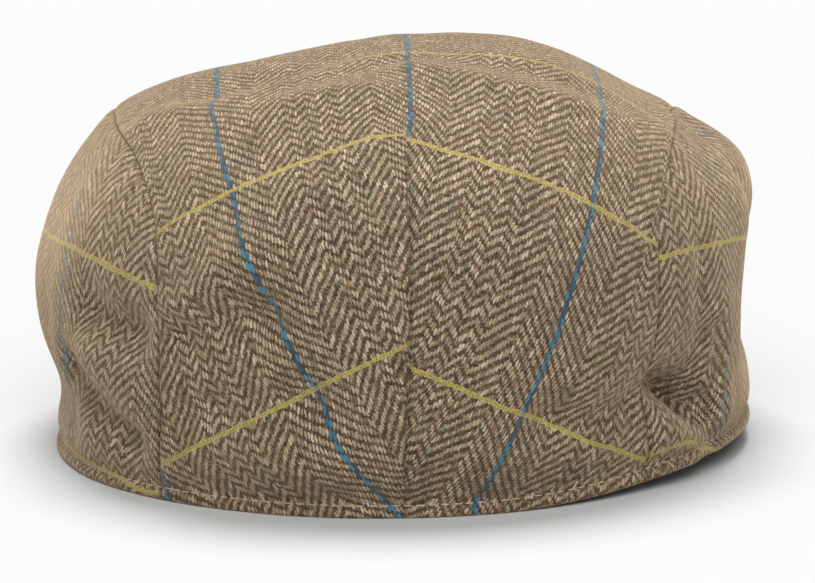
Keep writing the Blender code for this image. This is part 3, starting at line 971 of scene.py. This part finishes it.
class Number:
    """A number in a material's nodes, for arithmetic."""

    def __init__(self, tree, socket):
        self.tree, self.socket = tree, socket

    def math(self, operation, *others):
        made = new_node(self.tree, "Math", dict(enumerate((self, *others))), operation=operation)
        return Number(self.tree, made.outputs[0])

    __add__ = partialmethod(math, "ADD")
    __sub__ = partialmethod(math, "SUBTRACT")
    __mul__ = partialmethod(math, "MULTIPLY")
    __truediv__ = partialmethod(math, "DIVIDE")
    floor = partialmethod(math, "FLOOR")

    def rounded(self, fall, middle):
        """The painted shade of a round yarn: its brightness, from the way off its middle."""
        return self * self * -fall + middle

    def step_between(self, start, end, to_start=0.0, to_end=1.0):
        """A smooth step from one value to another between start and end."""
        values = {"Value": self, "From Min": start, "From Max": end, "To Min": to_start, "To Max": to_end}
        made = new_node(self.tree, "MapRange", values, interpolation_type="SMOOTHSTEP")
        return Number(self.tree, made.outputs["Result"])

    def near_line(self, repeat, half_width, edge):
        """1 near the ends of a repeat, where its line is, and 0 elsewhere."""
        off = (self - repeat / 2).math("ABSOLUTE") * -1 + repeat / 2
        return off.step_between(half_width - edge, half_width + edge, 1.0, 0.0)


class Cloth:
    """Builds one material's nodes."""

    def __init__(self, name):
        self.material = bpy.data.materials.new(name)
        self.material.use_nodes = True
        self.tree = self.material.node_tree

    def shade(self, values):
        """Links or sets the shader's inputs and gives back the finished material."""
        feed(self.tree, self.tree.nodes["Principled BSDF"].inputs, values)
        return self.material

    def join(self, *values):
        return new_node(self.tree, "CombineXYZ", dict(enumerate(values))).outputs[0]

    def split(self, socket):
        made = new_node(self.tree, "SeparateXYZ", {0: socket})
        return [Number(self.tree, output) for output in made.outputs]

    def noise(self, vector, scale, detail=2.0):
        made = new_node(self.tree, "TexNoise", {"Vector": vector, "Scale": scale, "Detail": detail})
        return Number(self.tree, made.outputs[0])

    def marked(self, name):
        return Number(self.tree, new_node(self.tree, "Attribute", {}, attribute_name=name).outputs["Fac"])

    def chance(self, *values):
        """Three even random numbers for a cell of the cloth."""
        made = new_node(self.tree, "TexWhiteNoise", {"Vector": self.join(*values)})
        return self.split(made.outputs["Color"])

    def mix(self, share, one, two):
        return new_node(self.tree, "Mix", {0: share, 6: one, 7: two}, data_type="RGBA").outputs[2]

    def times(self, colour, number):
        return new_node(self.tree, "VectorMath", {0: colour, "Scale": number}, operation="SCALE").outputs[0]

    def ramp(self, number, stops):
        """Picks one of some colours."""
        made = new_node(self.tree, "ValToRGB", {0: number})
        ramp = made.color_ramp
        ramp.interpolation = "CONSTANT"
        while len(ramp.elements) < len(stops):
            ramp.elements.new(0.5)  # placed below
        for element, (at, colour) in zip(ramp.elements, stops):
            element.position = at
            element.color = linear(colour)
        return made.outputs[0]


def tweed(name):
    """Herringbone of light warp floats on a dark weft, with blue warp and yellow weft lines."""
    m = Cloth(name)
    across, along, _ = m.split(new_node(m.tree, "UVMap", {}, uv_map="cloth").outputs[0])
    across, along = across * YARNS[0], along * YARNS[1]
    place = m.join(across, along, 0.0)
    bend = m.noise(place, BEND_SCALES[0]) - 0.5
    bend_along = m.noise(m.join(along, across, 7.0), BEND_SCALES[1]) - 0.5
    jitter = m.noise(place, JITTER_SCALE) - 0.5
    jitter_along = m.noise(m.join(along, across, 3.0), JITTER_SCALE) - 0.5
    across = across + bend * BEND + jitter * JITTER[0]
    along = along + bend_along * BEND + jitter_along * JITTER[1]

    # The floats: which yarn, which of its floats, and how far off that float's middle
    yarn = (across + 0.5).floor()
    x = across - yarn
    turn = yarn.math("FLOORED_MODULO", YARNS[0])
    steps, start = None, 0
    for width, step in ZIGZAG:
        part = (turn - start).math("MAXIMUM", 0).math("MINIMUM", width) * step
        steps = part if steps is None else steps + part
        start += width
    rise = (along + steps + m.chance(yarn, 3.0, 0.0)[0] * LATE_START) / FLOAT_EVERY
    row = rise.floor()
    y = (rise - row - 0.5) * FLOAT_EVERY
    x = x + y * SLUB_LEAN
    chance = m.chance(yarn, row, 1.0)
    fine = m.noise(place, FINE_SCALE)
    fibre = m.noise(m.join(across, along * FIBRE_WAY[0] + across * FIBRE_WAY[1], 9.0), FIBRE_SCALE, 3.0)
    x = x + (fibre - 0.5) * FRAY[0]
    y = y + (fine - 0.5) * FRAY[1]
    blue = (turn + 0.5).near_line(YARNS[0], BLUE_YARNS, BLUE_EDGE)
    x = x / (chance[0] * SLUB_WIDER + SLUB_WIDE + blue * BLUE_WIDER)
    y = y / (chance[1] * SLUB_LONGER + SLUB_LONG + blue * BLUE_LONGER)
    far = (x * x + y * y).math("SQRT")
    slub = far.step_between(*SLUB_EDGE, 1.0, 0.0)
    yellow = along.math("FLOORED_MODULO", YARNS[1]).near_line(YARNS[1], YELLOW_YARNS, YELLOW_EDGE)

    # The warp
    streak = m.noise(m.join(across, along * STREAK_STRETCH, 5.0), STREAK_SCALE, 1.0)
    # Painted shade: each warp float is darker away from its middle, as a lit round yarn looks
    warp_painted_shade = x.rounded(*WARP_ROUND_SHADE)
    bright = chance[1] * FLOAT_SPREAD + fibre * FIBRE_SPREAD + (streak - 1) * STREAK_SPREAD
    light = m.times(m.ramp(chance[2], WARP_COLOURS), bright * warp_painted_shade)
    blue_thread = m.mix(chance[0], linear(BLUE_DEEP), linear(BLUE_BRIGHT))
    blue_thread = m.times(blue_thread, (fibre * BLUE_FIBRE[0] + BLUE_FIBRE[1]) * warp_painted_shade)
    shown = blue * m.marked("blue_share")
    light = m.mix(shown, light, blue_thread)

    # The weft
    weft_row = along - along.floor() - 0.5
    weft_chance = m.chance(along.floor(), (across / 2 + along.floor() * 0.5).floor(), 2.0)
    dark = m.mix(weft_chance[0], linear(WEFT_DARK), linear(WEFT_LIGHT))
    # Painted shade: the weft is darker away from the middle of its row, as a lit round yarn looks
    dark = m.times(dark, (fibre * WEFT_FIBRE[0] + WEFT_FIBRE[1]) * weft_row.rounded(*WEFT_ROUND_SHADE))
    # Painted shade: dark gaps between the yarns at random places
    painted_gap_shade = m.noise(m.join(across, along, 4.0), HOLE_SCALE, 1.0).step_between(*HOLE_STEP)
    dark = m.mix(painted_gap_shade, dark, linear(PAINTED_GAP_SHADE))
    dark = m.mix(shown * BLUE_GAP_SHARE, dark, linear(BLUE_GAP))
    gold = m.mix(fibre.step_between(*GOLD_EDGE), linear(YELLOW_DEEP), linear(YELLOW_BRIGHT))
    # Painted shade: the yellow weft is darker away from its middle
    dark = m.mix(yellow, dark, m.times(gold, weft_row.rounded(*YELLOW_ROUND_SHADE)))

    colour = m.mix(slub * (yellow * -YELLOW_COVERS + 1), dark, light)
    # Painted shade: the colour darkens close to a seam and the dart
    painted_seam_shade = m.marked("near_seam").step_between(0.0, GROOVE_SHADE, GROOVE_SHADE_DARKEST, 1.0)
    patchy = m.noise(place, PATCH_SCALE) * PATCH_SPREAD + (1 - PATCH_SPREAD / 2)
    height = slub * (far * -SLUB_FALL + 1) + fine * FINE_HEIGHT
    bump = new_node(m.tree, "Bump", {"Strength": BUMP_STRENGTH, "Distance": BUMP_HEIGHT, "Height": height})
    return m.shade({
        "Base Color": m.times(colour, patchy * painted_seam_shade),
        "Roughness": fine * ROUGH[0] + slub * ROUGH[1] + ROUGH[2],
        "Normal": bump.outputs[0],
        "Specular IOR Level": 0.2,
        "Sheen Weight": 0.45,
        "Sheen Roughness": 0.5,
        "Sheen Tint": linear(SHEEN),
    })


def thread_material():
    m = Cloth("hem_thread")
    twist = m.noise(new_node(m.tree, "TexCoord", {}).outputs["Object"], TWIST_SCALE, 1.0)
    colour = m.mix(twist, linear(THREAD_DARK), linear(THREAD_LIGHT))
    return m.shade({"Base Color": colour, "Roughness": 0.6})


def floor_material():
    return Cloth("floor").shade({
        "Base Color": (FLOOR_GREY, FLOOR_GREY, FLOOR_GREY, 1), "Roughness": 0.9, "Specular IOR Level": 0.1
    })


# The scene


def placed(obj, node, material):
    obj.location = MIDDLE
    bpy.context.view_layer.update()
    obj.data.transform(obj.matrix_world)
    obj.matrix_world = Matrix()
    obj.data.materials.clear()
    obj.data.materials.append(material)
    if node:
        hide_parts(node)
    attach(obj, "root")


def hem_lines(*panels):
    """The line of topstitching along each hem, as points and outward normals."""
    row = len(HEM_ROWS) - 1
    return [
        (points[r], grid_normals(points)[r])
        for points, both_ends in panels for r in ((row, -1 - row) if both_ends else (row,))
    ]


def soft_lights():
    for name, strength, spread, to_back, to_right in LAMPS:
        lamp = bpy.data.lights.new(name, "SUN")
        lamp.energy = strength
        lamp.angle = math.radians(spread)
        obj = added(name, lamp)
        obj.location = (0, 0, LAMP_HEIGHT)
        obj.rotation_euler = (math.radians(to_back), math.radians(to_right), 0)


def studio():
    scene = bpy.context.scene
    signs = (-1, -1), (1, -1), (1, 1), (-1, 1)
    mesh = mesh_of("floor", [(x * FLOOR_REACH, y * FLOOR_REACH, 0) for x, y in signs], [(0, 1, 2, 3)])
    mesh.materials.append(floor_material())
    added("floor", mesh)
    world = bpy.data.worlds.new("studio")
    scene.world = world
    world.use_nodes = True
    background = world.node_tree.nodes["Background"]
    background.inputs[0].default_value = (1, 1, 1, 1)
    background.inputs[1].default_value = WORLD_LIGHT
    soft_lights()
    scene.view_settings.view_transform = "Standard"
    data = bpy.data.cameras.new("camera")
    data.sensor_width = SENSOR_WIDTH
    data.lens = FOCAL_PIXELS / IMAGE_WIDTH * SENSOR_WIDTH
    camera = added("camera", data)
    right, up, _ = looking_at(MIDDLE).transposed()
    aim = MIDDLE + (
        right * (IMAGE_WIDTH / 2 - MIDDLE_PIXEL[0]) + up * (MIDDLE_PIXEL[1] - IMAGE_HEIGHT / 2)
    ) / PIXELS_PER_MM * MM
    camera.matrix_world = Matrix.Translation(EYE) @ looking_at(aim).to_4x4()
    scene.camera = camera


def main():
    cloth = tweed("herringbone_tweed")
    top, top_points, top_cut = top_panel()
    right, right_points, right_cut = side_panel("side_panel_right_cloth", 1, RIGHT_CHECKS)
    left, left_points, left_cut = side_panel("side_panel_left_cloth", -1, LEFT_CHECKS)
    peak = peak_piece()
    lines = hem_lines((top_points, True), (right_points, False), (left_points, False))
    thread = stitches("hem_stitches", lines)
    placed(top, "top_panel", cloth)
    placed(right, "side_panel_right", cloth)
    placed(left, "side_panel_left", cloth)
    placed(peak, "peak", cloth)
    placed(thread, None, thread_material())
    studio()


main()
